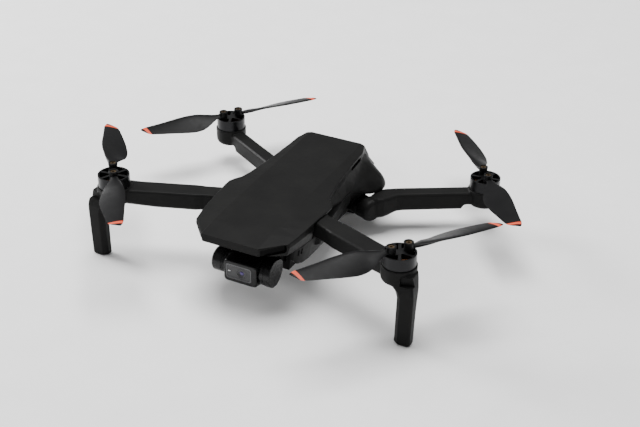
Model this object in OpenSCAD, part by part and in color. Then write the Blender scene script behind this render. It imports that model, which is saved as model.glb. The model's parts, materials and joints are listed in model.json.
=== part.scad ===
// Folding palm drone: two-piece body shell, four hinged arms with outrunner
// motors, two-blade folding propellers and a three-axis camera gimbal.
// Units are millimetres. The ground is z = 0, the nose points to -Y, and the
// drone's left side is +X. The origin is under the centre of the four rotors.

/* [Rotors] */
// Half the distance between the left and right rotors
rotor_x = 86; // [84:1:90]
// Half the distance between the front and rear rotors
rotor_y = 63; // [62:0.5:64]
// Height of the front blades
front_blade_z = 50.9; // [50.9:0.1:53]
// Height of the rear blades
rear_blade_z = 32.5; // [32:0.1:33]
// Radius swept by a blade's tip
tip_r = 59.7; // [54:0.1:60]
// Angle of the front left propeller from +X
prop_angle = 53; // [40:1:60]
// Outer radius of a motor's bell
bell_r = 8.8; // [8.6:0.1:9]

/* [Front arms] */
// Height of a front arm's underside
front_arm_z = 31.6; // [31.6:0.1:32]
// Height of a front arm's top face
front_arm_top = 41.8; // [41:0.1:41.8]
// Width of a front arm
front_arm_w = 12.4; // [11:0.1:12.4]
// Width of a front leg at its foot
foot_w = 8; // [7:0.1:9]

/* [Rear arms] */
// Height of a rear arm's fold axis
rear_axis_z = 15; // [14.5:0.1:15.5]
// Width of a rear arm
rear_arm_w = 9.4; // [8:0.1:10]

/* [Body] */
// Thickness of the shell's walls
wall = 1.5; // [1.2:0.1:1.8]
// Half the width of the flat strip along the top
strip_w = 16.8; // [15:0.1:17.5]
// Half the width of the belly
belly_w = 15.5; // [15:0.1:15.8]
// Height of the belly's underside
belly_z = 7; // [6.5:0.1:7.5]

/* [Camera] */
// Height of the camera's tilt axis
tilt_z = 17; // [16.5:0.1:17.5]
// Radius of the camera's round back
camera_r = 8; // [7.5:0.1:8.2]

/* [Hidden] */
MOTORS = ["fl", "fr", "rl", "rr"];
MOTOR_PARTS = ["motor_stator", "motor_windings", "motor_bearings", "rotor_bell",
    "rotor_magnets", "motor_shaft", "blade_a", "blade_b", "prop_screws"];
SINGLES = ["top_shell", "lower_shell", "nose_inserts", "battery_door", "battery",
    "main_board", "heat_sink", "vision_sensor", "power_button", "usb_port",
    "arm_hinge_pins", "shell_screws", "gimbal_mount", "gimbal_yaw_arm",
    "gimbal_roll_arm", "camera_housing", "camera_lens", "rear_feet",
    "front_arm_left", "front_arm_right", "front_leg_left", "front_leg_right",
    "rear_arm_left", "rear_arm_right"];
$fn = 48;

eps = 0.01;
gap = 0.4;               // between parts that pass each other
run = 0.05;              // radial clearance of a pin that turns in its bore
shell_black = "#2b2b2d";
trim_black = "#18181a";
board_green = "#1f5a3c";
steel = "#b4b6ba";
copper = "#b8703c";

// Motor, measured from the height of the blades
post_r = 5;              // from the rotor's axis to a blade's hinge
post_top = 3.1;
bell_top = -1.5;
bell_bottom = -7.9;
bell_wall = 0.9;
magnet_t = 0.8;
air_gap = 0.2;
core_r = bell_r - bell_wall - magnet_t - air_gap;
core_top = -4.4;
core_bottom = -7.0;
spider_z = -3.4;
cup_r = 9.5;
cup_wall = 0.8;
cup_top = -8.3;
cup_floor = -11.3;
tube_r = 2.7;
bearing_r = 2;
shaft_r = 0.75;
slots = 9;
magnets = 12;

// Arms
pin_r = 2;
front_hinge = [27.5, -39];
front_boss_r = 6.3;
front_slope = -20.6;     // direction of a front arm from +X
front_cup_z = 33;
rear_hinge = [27.5, 24.5];
rear_fold = -27.8;       // direction of a rear arm's fold axis from +X
rear_slope = 30.4;       // direction of a rear arm from +X
knuckle_r = 7;
rear_cup_z = 14;
rear_arm_z = 11.6;
rear_arm_top = 22.4;

// Body
seam_z = 31.2;           // where the lower shell meets the top shell
ledge_z = 20;            // where the flanks step in to the belly
roof_z = 42.1;           // underside of the roof over the front arms
bay_z = 34;              // roof of the gimbal's bay
bay_back = -46;
tail_y = 50;
top_tail = 48;
battery_box = [27, 68, 17];
battery_y = 46.6 - battery_box[1];
battery_z = belly_z + wall + gap;
bay_floor = belly_z + wall + battery_box[2] + 3;   // of the bay over the battery
board_z = bay_floor + 1;
scoop_x0 = 17.4;         // corner scoops of the nose
scoop_x1 = 27.4;
scoop_z0 = 37.2;
scoop_z1 = 40.6;
door_t = 1.8;
door_w = 29;
door_top = 28.5;
port_x = 17.1;
port_z = 25.4;
screw_x = 12.6;
SCREW_Y = [-41, -28];

// Gimbal
yaw_y = -54;
tilt_y = -66;
camera_x0 = -9.5;
camera_x1 = 10.4;
camera_front = -75;
stub_x = -18.8;          // end of the camera's left hub
cheek_x = 17.4;          // outer face of the tilt motor
lens_x = 1.3;
window = [-7.9, 6.9];    // from side to side
cheek_t = 4;
barrel_r = 7.6;
plate_z = 29.6;
yaw_top = plate_z - gap;
yaw_bottom = 25;
roll_plate_y = tilt_y + camera_r + 0.5;
roll_plate_t = 2.4;
yaw_face = roll_plate_y + roll_plate_t + gap;
barrel_x = camera_x1 + gap;

// ---------------------------------------------------------------- helpers

// Joins closed outlines with equal numbers of points into one solid. Each
// outline runs counter-clockwise as seen from the next one.
module loft(rings) {
    n = len(rings[0]);
    last = len(rings) - 1;
    points = [for (ring = rings, p = ring) p];
    sides = [for (k = [0 : last - 1], i = [0 : n - 1])
        [k * n + i, (k + 1) * n + i, (k + 1) * n + (i + 1) % n, k * n + (i + 1) % n]];
    caps = [[for (i = [0 : n - 1]) i], [for (i = [n - 1 : -1 : 0]) last * n + i]];
    polyhedron(points, concat(sides, caps), convexity = 6);
}

// An outline across the body at y, from the right half's [x, z] points
function across(y, half) = concat(
    [for (p = half) [-p[0], y, p[1]]],
    [for (i = [len(half) - 1 : -1 : 0]) [half[i][0], y, half[i][1]]]);

// A section of the top shell: the strip, the shoulder and the foot of the side
function top_section(y, zt, sw, w, ze, wb, zb) =
    across(y, [[wb, zb], [w, ze], [sw, zt]]);

// A section of the lower shell: width at the seam, at the ledge and of the belly
function low_section(y, ws, wl, wb) =
    across(y, [[wb - 1, belly_z], [wb, ledge_z - 1.2], [wl, ledge_z], [ws, seam_z]]);

// Keeps what lies between two planes across the body
module between(y0, y1) {
    intersection() {
        children();
        translate([-60, y0, -10]) cube([120, y1 - y0, 80]);
    }
}

module both_sides() {
    children();
    mirror([1, 0, 0]) children();
}

module tube(r, bore, z0, z1) {
    translate([0, 0, z0]) difference() {
        cylinder(r = r, h = z1 - z0);
        translate([0, 0, -eps]) cylinder(r = bore, h = z1 - z0 + 2 * eps);
    }
}

module disc(r, z0, z1) {
    translate([0, 0, z0]) cylinder(r = r, h = z1 - z0);
}

// Puts a child on a rear arm's fold axis, with the axis along +Z and outboard
module on_fold_axis(s = 0) {
    translate([rear_hinge[0], rear_hinge[1], rear_axis_z])
        rotate([0, 0, rear_fold]) rotate([0, 90, 0]) translate([0, 0, s]) children();
}

module on_front_hinge() {
    translate([front_hinge[0], front_hinge[1], 0]) children();
}

function is_front(m) = m[0] == "f";
function is_left(m) = m[1] == "l";
// The front left and rear right propellers turn clockwise seen from above
function is_clockwise(m) = is_front(m) == is_left(m);
function blade_z(m) = is_front(m) ? front_blade_z : rear_blade_z;

module at_motor(m) {
    translate([is_left(m) ? rotor_x : -rotor_x, is_front(m) ? -rotor_y : rotor_y, blade_z(m)])
        children();
}

// ------------------------------------------------------------------ body

// The outside of the top shell as one solid, or its hollow if inset by w
module top_form(w = 0) {
    foot = w > 0 ? seam_z - 1 : seam_z;
    between(-84 + w, top_tail - w) loft([
        top_section(-87, 42.3 - w, strip_w - w / 2, strip_w + 0.4 - w, 41.8 - w, 15 - w, 37.5 + w),
        top_section(-84, 42.3 - w, strip_w - w / 2, strip_w + 0.4 - w, 41.8 - w, 16.2 - w, 37.5 + w),
        top_section(-71, 42.8 - w, strip_w - w / 2, 28 - w, 41.2 - w, 27 - w, bay_z + w),
        top_section(bay_back, 43.8 - w, strip_w - w / 2, 30.6 - w, 42.9 - w, 30 - w, bay_z + w),
        top_section(bay_back + 0.3, 43.8 - w, strip_w - w / 2, 30.6 - w, 42.9 - w, 30 - w, foot),
        top_section(-30, 44.4 - w, strip_w - w / 2, 32 - w, 43.6 - w, 30 - w, foot),
        top_section(-12, 45.1 - w, strip_w - w / 2, 25.4 - w, 44.6 - w, 26 - w, foot),
        top_section(5, 45.8 - w, strip_w - w / 2, 22.8 - w, 45.1 - w, 24 - w, foot),
        top_section(31, 46.8 - w, strip_w - w / 2, 21.4 - w, 46 - w, 26 - w, foot),
        top_section(39.5 - w, 47.1 - w, strip_w - 1 - w / 2, strip_w + 0.4 - w, 46.8 - w, 23 - w, foot),
        top_section(tail_y, 34.6 - w, strip_w - 1 - w / 2, strip_w + 0.4 - w, 34.4 - w, 21.4 - w, foot)]);
}

// The space in which a folded front arm lies, as a flat outline
module arm_pocket() {
    polygon([[20.4, -44.2], [36, -50.05], [48, -50], [48, 4], [25.2, 4],
        [24.1, -8], [22.6, -22], [20.9, -34]]);
}

module top_shell() {
    color(shell_black) difference() {
        top_form();
        difference() {
            top_form(wall);
            both_sides() translate([0, 0, seam_z - 1])
                linear_extrude(20) offset_pocket();
        }
        both_sides() translate([0, 0, seam_z - 1])
            linear_extrude(roof_z - seam_z + 1) arm_pocket();
        both_sides() on_front_hinge() disc(pin_r, roof_z - 1, roof_z + 1);
        // Vent slots in the side facets
        both_sides() translate([19.4, 17.5, 40]) cube([4, 11.8, 1.6]);
        // Corner scoops under the nose
        both_sides() nose_pocket();
    }
}

// The pocket's outline with the thickness of its wall added
module offset_pocket() {
    polygon([[18.9, -42.6], [18.9, -51.2], [36, -52], [48, -52], [48, 6], [23.6, 6],
        [22.5, -8], [21.1, -22], [19.4, -34]]);
}

// A prism with a slanted front across a nose corner, from its corners' y
module nose_block(front0, front1, back0, back1) {
    translate([0, 0, scoop_z0]) linear_extrude(scoop_z1 - scoop_z0)
        polygon([[scoop_x0, front0], [scoop_x1, front1], [scoop_x1, back1], [scoop_x0, back0]]);
}

module nose_pocket() {
    nose_block(-90, -90, -76.5, -67.5);
}

module nose_inserts() {
    color(trim_black) both_sides() nose_block(-81, -70.2, -76.5, -67.5);
}

// The outside of the lower shell as one solid
module low_form() {
    between(bay_back, tail_y) loft([
        low_section(bay_back - 4, 30, 24, belly_w),
        low_section(-38, 30, 28, belly_w),
        low_section(-18, 28, 26, belly_w),
        low_section(5, 24, 21.6, belly_w),
        low_section(20, 25, 21.6, belly_w),
        low_section(tail_y + 3, 21, 20.4, belly_w)]);
}

// A section of the hollow in a flank, from the battery bay's wall to the shell's
function flank_section(y, ws, wl) = let (inner = battery_box[0] / 2 + gap + wall)
    [[inner, y, ledge_z + wall], [inner, y, seam_z - wall],
        [ws - wall - 0.2, y, seam_z - wall], [wl - wall, y, ledge_z + wall]];

// Hollow of a flank, clear of the front arm's pin boss and the rear knuckle
module flank_hollow() {
    difference() {
        between(bay_back + wall, rear_hinge[1] - 9.5) loft([
            flank_section(bay_back - 4, 30, 24),
            flank_section(-38, 30, 28),
            flank_section(-18, 28, 26),
            flank_section(5, 24, 21.6),
            flank_section(20, 25, 21.6)]);
        on_front_hinge() disc(pin_r + 2, seam_z - 9, seam_z);
    }
    // Hollow of the shoulder over the rear arm's root
    hull() {
        translate([17, 31, 24.7]) cube([11, 7.5, 3]);
        translate([17, 29, 28.5]) cube([6.5, 13.5, seam_z - wall - 28.5]);
    }
    // Hollow inboard of the rear hinge's pin
    on_fold_axis(-10.5) cylinder(r = 4.8, h = 3);
}

module lower_shell() {
    color(shell_black) difference() {
        union() {
            low_form();
            // Fixed halves of the rear hinges
            both_sides() on_fold_axis(-12) cylinder(r = knuckle_r, h = 12 - 1.2);
            // Shoulders over the rear arms' roots
            both_sides() hull() {
                translate([18, 26, 23.2]) cube([11.5, 14, 5]);
                translate([18, 24, 29]) cube([7, 22, seam_z - 29]);
            }
        }
        // Upper bay for the board and its heat sink
        translate([-19, bay_back + 8, bay_floor])
            cube([38, tail_y - bay_back - 14, 20]);
        both_sides() flank_hollow();
        // Battery bay, open at the tail
        translate([-battery_box[0] / 2 - gap, battery_y - gap, belly_z + wall])
            cube([battery_box[0] + 2 * gap, 90, battery_box[2] + 2 * gap]);
        // Frame of the door
        translate([-door_w / 2 - 0.2, tail_y - door_t - 0.3, belly_z - 1])
            cube([door_w + 0.4, 9, door_top - belly_z + 1.2]);
        both_sides() on_front_hinge() disc(pin_r, seam_z - 6, seam_z + 1);
        both_sides() on_fold_axis(-7) cylinder(r = pin_r, h = 12);
        both_sides() for (y = SCREW_Y) translate([screw_x, y, 0]) {
            disc(1, 4, 15);
            disc(1.9, 4, belly_z + 1.5);
        }
        // Window of the downward sensors
        translate([-10, -32, belly_z - 1]) cube([20, 12, 2]);
        // Recess and bore of the power button
        translate([0, 14, 0]) disc(4.1, belly_z - 1, battery_z + 1);
        // Charging port beside the door
        translate([port_x - 1.6, tail_y - 7, port_z - 4.6]) cube([3.2, 9, 9.2]);
        // Bores of the door's hinge
        translate([0, tail_y - door_t / 2, belly_z + 1.7]) rotate([0, 90, 0])
            cylinder(r = 0.65, h = door_w + 3.2, center = true);
        // Cooling slots in the front
        for (x = [-12 : 4 : 12]) translate([x - 0.8, bay_back - 1, 12]) cube([1.6, 3, 7]);
    }
}

module battery() {
    color("#3a3a3e") translate([-battery_box[0] / 2, battery_y, battery_z - gap + 0.2])
        difference() {
            cube(battery_box);
            translate([-1, battery_box[1] - 9, 5]) cube([1.8, 6, 8]);
            translate([battery_box[0] - 0.8, battery_box[1] - 9, 5]) cube([1.8, 6, 8]);
        }
}

module battery_door() {
    color(shell_black) {
        translate([-door_w / 2, tail_y - door_t, belly_z + 2.6])
            cube([door_w, door_t, door_top - belly_z - 2.6]);
        // Hinge barrel along the door's foot
        translate([0, tail_y - door_t / 2, belly_z + 1.7]) rotate([0, 90, 0])
            cylinder(r = 1.1, h = door_w - 1, center = true);
        translate([0, tail_y - door_t / 2, belly_z + 1.7]) rotate([0, 90, 0])
            cylinder(r = 0.6, h = door_w + 3, center = true);
        // Finger rib
        translate([-6, tail_y, door_top - 4]) cube([12, 0.8, 1.4]);
    }
}

module main_board() {
    color(board_green) difference() {
        translate([-17, -36, board_z]) cube([34, 78, 1]);
        both_sides() for (y = [-32, 38]) translate([14.5, y, 0]) disc(1.1, board_z - 1, board_z + 2);
    }
    // Chips, connectors and the satellite receiver, each its own solid
    color(trim_black) {
        translate([-7, -28, board_z + 1]) cube([14, 14, 1.2]);
        translate([-12, 0, board_z + 1]) cube([8, 8, 1]);
        translate([3, 2, board_z + 1]) cube([9, 6, 1]);
    }
    color(steel) translate([-9, 18, board_z + 1]) cube([18, 18, 4]);
}

module heat_sink() {
    base = board_z + 2.2;
    color(steel) translate([-9, -30, base]) {
        cube([18, 18, 1.2]);
        for (i = [0 : 5]) translate([0.4 + i * 3.3, 0, 1.2]) cube([0.7, 18, 3]);
    }
}

module vision_sensor() {
    color(trim_black) difference() {
        translate([-9.9, -31.9, belly_z + 0.2]) cube([19.8, 11.8, 0.8]);
        for (x = [-6, 6]) translate([x, -26, 0]) disc(2, belly_z - 1, belly_z + 0.7);
    }
    color(steel) for (x = [-6, 6]) translate([x, -26, 0]) disc(1.6, belly_z + 0.2, belly_z + 0.7);
}

module power_button() {
    color(trim_black) translate([0, 14, 0]) {
        disc(4, belly_z - 0.3, belly_z + 0.5);
        disc(2, belly_z + 0.5, belly_z + 0.7);
    }
}

module usb_port() {
    color(steel) translate([port_x, tail_y - 3.6, port_z]) rotate([90, 0, 0]) difference() {
        linear_extrude(6.4, center = true) port_outline(1.6);
        translate([0, 0, -1]) linear_extrude(6.4, center = true) port_outline(1.25);
    }
}

module port_outline(r) {
    translate([-r, -3]) square([2 * r, 6]);
    for (z = [-3, 3]) translate([0, z]) circle(r = r);
}

module arm_hinge_pins() {
    color(steel) both_sides() {
        on_front_hinge() disc(pin_r, seam_z - 6, roof_z + 1);
        on_fold_axis(-7) cylinder(r = pin_r, h = 11.5);
    }
}

module shell_screws() {
    color(steel) both_sides() for (y = SCREW_Y) translate([screw_x, y, 0]) difference() {
        union() {
            disc(1.9, belly_z + 0.1, belly_z + 1.5);
            disc(1, belly_z + 1.5, 15);
        }
        translate([0, 0, belly_z - 1]) cylinder(r = 0.9, h = 1.8, $fn = 6);
    }
}

module rear_feet() {
    color(trim_black) both_sides() {
        loft([
            [[9, 37.5, 0], [14, 37.5, 0], [14, 43, 0], [9, 43, 0]],
            [[8.4, 34, belly_z], [14.2, 34, belly_z], [14.2, 46, belly_z], [8.4, 46, belly_z]]]);
    }
}

// ------------------------------------------------------------------ arms

// An outline across a front arm at distance s from its hinge
function front_arm_section(s, w, z0, z1, bevel) = let (
        d = [cos(front_slope), sin(front_slope)],
        n = [-d[1], d[0]],
        h = front_hinge,
        at = function (t, z) [h[0] + d[0] * s + n[0] * t, h[1] + d[1] * s + n[1] * t, z])
    [at(-w / 2, z0 + bevel), at(-w / 2 + bevel, z0), at(w / 2 - bevel, z0), at(w / 2, z0 + bevel),
        at(w / 2, z1 - bevel), at(w / 2 - bevel, z1), at(-w / 2 + bevel, z1), at(-w / 2, z1 - bevel)];

module front_arm() {
    color(shell_black) difference() {
        union() {
            on_front_hinge() disc(front_boss_r, front_arm_z, front_arm_top);
            loft([
                front_arm_section(0, front_arm_w - 1, front_arm_z, front_arm_top, 1),
                front_arm_section(30, front_arm_w, front_arm_z, front_arm_top, 1),
                front_arm_section(58, front_arm_w, front_arm_z + 1.5, front_arm_top, 1)]);
            translate([rotor_x, -rotor_y, 0]) disc(cup_r, front_cup_z, front_blade_z + cup_top);
        }
        on_front_hinge() disc(pin_r + run, front_arm_z - 1, front_arm_top + 1);
        translate([rotor_x, -rotor_y, front_blade_z])
            disc(cup_r - cup_wall, cup_floor, cup_top + 1);
    }
}

module front_leg() {
    color(shell_black) difference() {
        loft([
            leg_section(0, 3, 3 + foot_w, -9.6, -3.6),
            leg_section(20, 2.5, 12, -9.8, -3.3),
            leg_section(31, 1.5, 13.8, -10, -2.5),
            leg_section(37, 2, 14.8, -9.8, -1.5),
            leg_section(40, 4, 13.2, -9, -1.5)]);
        translate([rotor_x, -rotor_y, 0]) disc(cup_r, front_cup_z, front_blade_z);
    }
}

// A level section of a front leg, measured from the rotor's axis, with cut corners
function leg_section(z, x0, x1, y0, y1, cut = 1.1) = let (cx = rotor_x, cy = -rotor_y) [
    [cx + x0 + cut, cy + y0, z], [cx + x1 - cut, cy + y0, z], [cx + x1, cy + y0 + cut, z],
    [cx + x1, cy + y1 - cut, z], [cx + x1 - cut, cy + y1, z], [cx + x0 + cut, cy + y1, z],
    [cx + x0, cy + y1 - cut, z], [cx + x0, cy + y0 + cut, z]];

// A section across a rear arm, at distance s from its motor
function rear_arm_section(s, w, z0, z1, bevel) = let (
        d = [cos(rear_slope), sin(rear_slope)],
        n = [-d[1], d[0]],
        at = function (t, z) [rotor_x - d[0] * s + n[0] * t, rotor_y - d[1] * s + n[1] * t, z])
    [at(-w / 2, z0 + bevel), at(-w / 2 + bevel, z0), at(w / 2 - bevel, z0), at(w / 2, z0 + bevel),
        at(w / 2, z1 - bevel), at(w / 2 - bevel, z1), at(-w / 2 + bevel, z1), at(-w / 2, z1 - bevel)];

module rear_arm() {
    root = rear_arm_section(50, rear_arm_w, rear_arm_z, rear_arm_top, 1.4);
    root_end = rear_arm_section(49, rear_arm_w, rear_arm_z, rear_arm_top, 1.4);
    color(shell_black) difference() {
        union() {
            on_fold_axis(-0.8) cylinder(r = knuckle_r, h = 6);
            on_fold_axis(5.2) cylinder(r1 = knuckle_r, r2 = knuckle_r - 2, h = 3);
            hull() {
                on_fold_axis(0.2) cylinder(r = knuckle_r - 0.4, h = 5, $fn = 32);
                loft([root, root_end]);
            }
            loft([root,
                rear_arm_section(20, rear_arm_w, rear_arm_z, rear_arm_top, 1.4),
                rear_arm_section(6, rear_arm_w, rear_cup_z, rear_arm_top, 1.4)]);
            translate([rotor_x, rotor_y, 0]) disc(cup_r, rear_cup_z, rear_blade_z + cup_top);
        }
        on_fold_axis(-2) cylinder(r = pin_r + run, h = 2 + 4.8);
        translate([rotor_x, rotor_y, rear_blade_z]) disc(cup_r - cup_wall, cup_floor, cup_top + 1);
    }
}

// ---------------------------------------------------------------- motors

module motor_stator() {
    color(steel) difference() {
        union() {
            disc(cup_r - cup_wall, cup_floor, cup_floor + 1);
            disc(tube_r, cup_floor, core_top);
            translate([0, 0, core_bottom]) linear_extrude(core_top - core_bottom) {
                circle(r = tube_r + 0.8);
                for (i = [0 : slots - 1]) rotate(i * 360 / slots) {
                    translate([tube_r, -0.55]) square([core_r - tube_r - 0.4, 1.1]);
                    intersection() {
                        difference() { circle(r = core_r); circle(r = core_r - 0.8); }
                        translate([0, -1.7]) square([core_r, 3.4]);
                    }
                }
            }
        }
        disc(bearing_r, core_top - 1.6, core_top + 1);
        disc(bearing_r, cup_floor - 1, cup_floor + 1.6);
        disc(shaft_r + 0.4, cup_floor - 1, core_top + 1);
    }
}

module motor_windings() {
    color(copper) for (i = [0 : slots - 1]) rotate([0, 0, i * 360 / slots])
        difference() {
            translate([tube_r + 1.1, -1.1, core_bottom - 0.5])
                cube([core_r - 2.2 - tube_r, 2.2, core_top - core_bottom + 0.9]);
            translate([0, -0.55, core_bottom]) cube([core_r, 1.1, core_top - core_bottom]);
        }
}

module motor_bearings() {
    color(steel) for (z = [cup_floor, core_top - 1.6])
        tube(bearing_r, shaft_r + run, z, z + 1.6);
}

module rotor_bell() {
    color(trim_black) difference() {
        union() {
            tube(bell_r, bell_r - bell_wall, bell_bottom, bell_top);
            translate([0, 0, spider_z]) linear_extrude(bell_top - spider_z) {
                intersection() {
                    circle(r = bell_r - bell_wall / 2);
                    union() for (a = [0, 60, 120]) rotate(a) square([2 * bell_r, 1.6], center = true);
                }
                square([2 * post_r, 4.6], center = true);
                for (x = [-post_r, post_r]) translate([x, 0]) circle(r = 2.6);
            }
        }
        disc(shaft_r, spider_z - 1, bell_top - 0.3);
        for (x = [-post_r, post_r]) translate([x, 0, 0]) disc(1, spider_z - 1, 0);
    }
}

module rotor_magnets() {
    color(steel) for (i = [0 : magnets - 1]) rotate([0, 0, i * 360 / magnets])
        translate([0, 0, bell_bottom + 0.3]) rotate_extrude(angle = 26)
            translate([bell_r - bell_wall - magnet_t, 0]) square([magnet_t, 3.6]);
}

module motor_shaft() {
    color(steel) disc(shaft_r, cup_floor + 0.2, bell_top - 0.3);
}

module prop_screws() {
    color("#a8865a") for (x = [-post_r, post_r]) translate([x, 0, 0]) difference() {
        union() {
            disc(1, spider_z, 1.85);
            disc(1.6, 1.8, 2.7);
        }
        translate([0, 0, 2.1]) cylinder(r = 0.8, h = 1, $fn = 6);
    }
}

// A blade along +X from the rotor's axis, for a rotor that turns towards +Y
BLADE_R = [6, 8, 11, 14, 18, 22, 27, 33, 39, 45, 51, 55.5, 59];
function lead(r) = lookup(r, [[6, 1.8], [8, 1.9], [11, 2.6], [14, 3.8], [18, 4.9], [22, 5.2],
    [33, 4.8], [45, 4.2], [60, 3.2]]);
function trail(r) = lookup(r, [[6, 1.8], [8, 1.9], [11, 2.8], [14, 5], [18, 8], [22, 9],
    [33, 8], [45, 6], [60, 3.6]]);
function pitch(r) = lookup(r, [[8, 0], [14, 8], [22, 23], [33, 17.5], [45, 13], [60, 9.5]]);
function thick(r) = lookup(r, [[6, 2], [14, 1.7], [30, 1.2], [60, 0.7]]);
function blade_section(r) = let (
        sweep = max(0, r - 55) * (tip_r - 59) / 4,
        p = pitch(r), t = thick(r) / 2,
        at = function (y, z, dr) [r + dr, y * cos(p) - z * sin(p), y * sin(p) + z * cos(p)])
    [at(lead(r), 0, sweep), at(lead(r) * 0.5, t, 0), at(0, t * 1.1, 0), at(-trail(r) * 0.6, t * 0.8, 0),
        at(-trail(r), 0, -sweep * 2), at(-trail(r) * 0.6, -t * 0.4, 0), at(0, -t * 0.8, 0),
        at(lead(r) * 0.5, -t * 0.8, 0)];

module blade() {
    color("#3b3c3f") difference() {
        union() {
            loft([for (r = BLADE_R) blade_section(r)]);
            translate([post_r, 0, 0]) disc(2.6, bell_top + 0.3, post_top);
        }
        translate([post_r, 0, 0]) {
            disc(1 + run, -3, 3);
            disc(1.65, 1.75, post_top + 1);
        }
    }
}

module at_prop(m) {
    at_motor(m) rotate([0, 0, is_clockwise(m) ? prop_angle : 180 - prop_angle]) children();
}

// Turns a blade's leading edge the way its rotor turns
module handed(m) {
    if (is_clockwise(m)) mirror([0, 1, 0]) children();
    else children();
}

// ---------------------------------------------------------------- gimbal

module gimbal_mount() {
    color(trim_black) difference() {
        translate([-10, yaw_y - 6, plate_z]) cube([20, 12, 1.4]);
        translate([0, yaw_y, 0]) disc(1 + run, plate_z - 1, plate_z + 3);
    }
    color("#4a4a4c") for (x = [-8, 8], y = [yaw_y - 4, yaw_y + 4])
        translate([x, y, 0]) disc(1.7, plate_z + 1.4, bay_z);
}

module gimbal_yaw_arm() {
    color(trim_black) difference() {
        union() {
            translate([0, yaw_y, 0]) {
                disc(6, yaw_bottom, yaw_top);
                disc(1, yaw_top, plate_z + 1.2);
            }
            translate([-4, yaw_face, tilt_z]) cube([8, 4, yaw_bottom - tilt_z]);
            translate([0, yaw_face + 4, tilt_z]) rotate([90, 0, 0]) cylinder(r = 5.5, h = 4);
        }
        translate([0, yaw_face + 3.4, tilt_z]) rotate([90, 0, 0]) cylinder(r = 1 + run, h = 8);
    }
}

module gimbal_roll_arm() {
    color(trim_black) {
        // Roll motor's rotor and its pin
        translate([0, roll_plate_y + roll_plate_t, tilt_z]) rotate([90, 0, 0])
            cylinder(r = 6, h = roll_plate_t);
        translate([0, yaw_face + 3, tilt_z]) rotate([90, 0, 0]) cylinder(r = 1, h = 4);
        // Arm behind the camera and the cheek beside it
        translate([0, roll_plate_y, tilt_z - 2.8]) cube([cheek_x - 2.6, roll_plate_t, 5.6]);
        translate([cheek_x - cheek_t, tilt_y, tilt_z - 2.8])
            cube([cheek_t - 1.2, roll_plate_y - tilt_y, 5.6]);
        // Tilt motor
        translate([barrel_x, tilt_y, tilt_z]) rotate([0, 90, 0]) {
            cylinder(r = barrel_r, h = cheek_x - cheek_t - barrel_x);
            translate([0, 0, cheek_x - cheek_t - barrel_x])
                cylinder(r1 = barrel_r + 0.3, r2 = barrel_r - 0.4, h = cheek_t);
            translate([0, 0, -3]) cylinder(r = 1, h = 4);
        }
    }
}

module camera_housing() {
    w = camera_x1 - camera_x0;
    color(trim_black) difference() {
        union() {
            translate([camera_x0, tilt_y, tilt_z]) rotate([0, 90, 0]) cylinder(r = camera_r, h = w);
            translate([stub_x, tilt_y, tilt_z]) rotate([0, 90, 0])
                cylinder(r = 6.5, h = camera_x0 - stub_x);
            hull() for (x = [camera_x0 + 2, camera_x1 - 2], z = [-4.5, 4.5])
                translate([x, tilt_y, tilt_z + z]) rotate([90, 0, 0])
                    cylinder(r = 2, h = tilt_y - camera_front, $fn = 32);
        }
        // Window
        translate([window[0] - 0.1, camera_front - 1, tilt_z - 4.3])
            cube([window[1] - window[0] + 0.2, 1.9, 8.6]);
        translate([lens_x, camera_front + 4, tilt_z]) rotate([90, 0, 0]) cylinder(r = 3, h = 5);
        translate([camera_x1 - 3.4, tilt_y, tilt_z]) rotate([0, 90, 0]) cylinder(r = 1 + run, h = 5);
    }
}

module camera_lens() {
    color("#2e2a44") {
        translate([window[0], camera_front + 0.3, tilt_z - 4.2])
            cube([window[1] - window[0], 0.6, 8.4]);
        translate([lens_x, camera_front + 3.8, tilt_z]) rotate([90, 0, 0]) cylinder(r = 2.9, h = 2.9);
    }
}

// ---------------------------------------------------------------- nodes

top_shell();
lower_shell();
nose_inserts();
battery_door();
battery();
main_board();
heat_sink();
vision_sensor();
power_button();
usb_port();
arm_hinge_pins();
shell_screws();
gimbal_mount();
gimbal_yaw_arm();
gimbal_roll_arm();
camera_housing();
camera_lens();
rear_feet();
front_arm();  // front_arm_left
mirror([1, 0, 0]) front_arm();  // front_arm_right
front_leg();  // front_leg_left
mirror([1, 0, 0]) front_leg();  // front_leg_right
rear_arm();  // rear_arm_left
mirror([1, 0, 0]) rear_arm();  // rear_arm_right
for (m = MOTORS) {
    at_motor(m) motor_stator();
    at_motor(m) motor_windings();
    at_motor(m) motor_bearings();
    at_prop(m) rotor_bell();
    at_prop(m) rotor_magnets();
    at_prop(m) motor_shaft();
    at_prop(m) handed(m) blade();
    at_prop(m) handed(m) rotate([0, 0, 180]) blade();
    at_prop(m) prop_screws();
}
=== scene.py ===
"""The looks of a folding palm drone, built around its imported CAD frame.

Lengths are written in millimetres and scaled to metres when a mesh is made. The nose points
to -Y, +X is the drone's left and the ground is z = 0. Sizes are given for the left side, and a
side of -1 mirrors them.
"""
import json
import math

import bmesh
import bpy
import numpy as np
from mathutils import Matrix, Vector


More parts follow.
